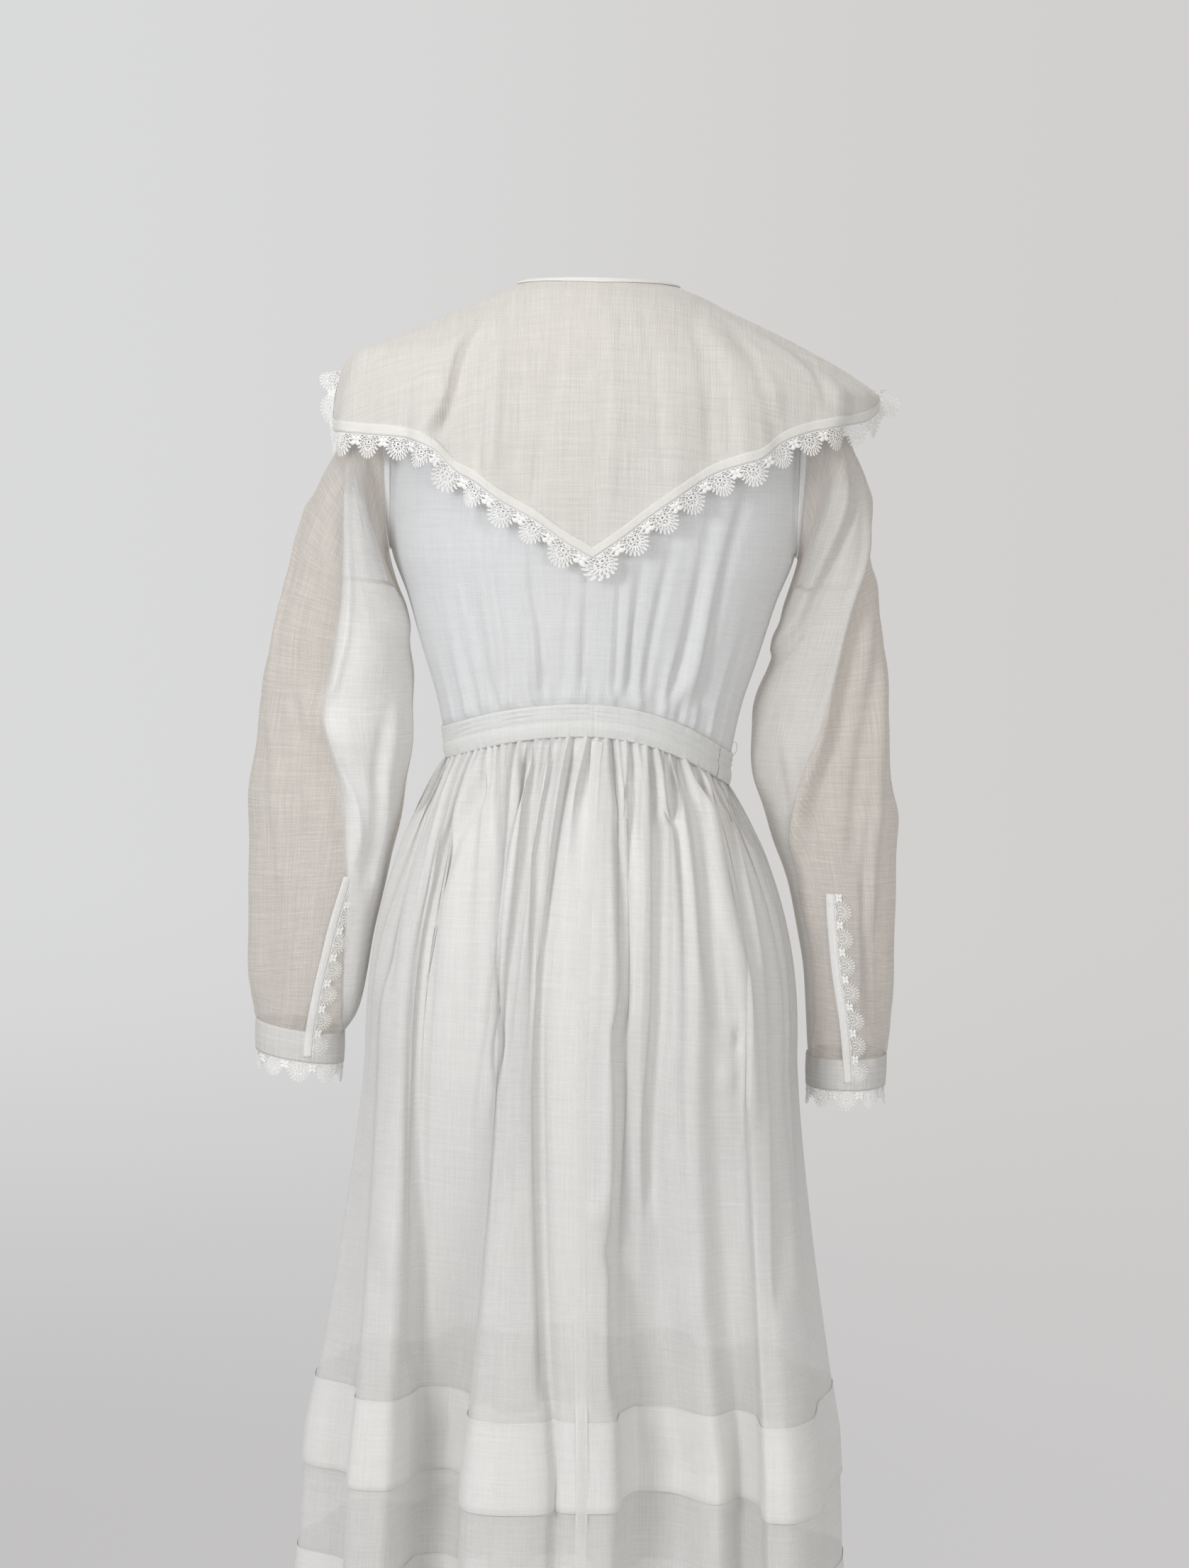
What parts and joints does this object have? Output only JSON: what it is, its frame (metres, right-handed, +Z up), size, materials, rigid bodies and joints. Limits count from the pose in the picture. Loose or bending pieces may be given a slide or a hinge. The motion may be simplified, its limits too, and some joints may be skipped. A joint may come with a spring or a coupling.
{
  "type": "long-sleeved cotton dress with a lace-edged cape collar",
  "caption": "Sheer white cotton dress, worn pose: pointed cape collar edged with tatted lace, gathered bodice and skirt on a waistband, long cuffed sleeves, tucks above the hem.",
  "frame": {"origin": "the middle of the shoulder line, level with the base of the neck, where the wearer's shoulders hold the dress up", "axes": "+Z up; +Y out of the back of the dress, towards the picture's camera; +X towards the wearer's left"},
  "size_m": [0.5948, 0.3686, 1.3665],
  "materials": {
    "cotton_voile": "sheer plain weave",
    "collar_cotton": "fine opaque plain weave",
    "doubled_cotton": "doubled plain weave",
    "lace_thread": "tatted cotton thread"
  },
  "bodies": {
    "root": {"bodice_back": "cotton_voile", "bodice_front": "cotton_voile", "waistband": "doubled_cotton", "skirt_back_left": "cotton_voile", "skirt_back_right": "cotton_voile", "skirt_front": "cotton_voile", "tuck_upper": "doubled_cotton", "tuck_lower": "doubled_cotton", "collar": "collar_cotton", "collar_hem": "doubled_cotton", "collar_lace": "lace_thread", "sleeve_left": "cotton_voile", "sleeve_right": "cotton_voile", "cuff_left": "doubled_cotton", "cuff_right": "doubled_cotton", "cuff_lace_left": "lace_thread", "cuff_lace_right": "lace_thread", "placket_left": "doubled_cotton", "placket_right": "doubled_cotton", "placket_lace_left": "lace_thread", "placket_lace_right": "lace_thread"}
  },
  "joints": []
}
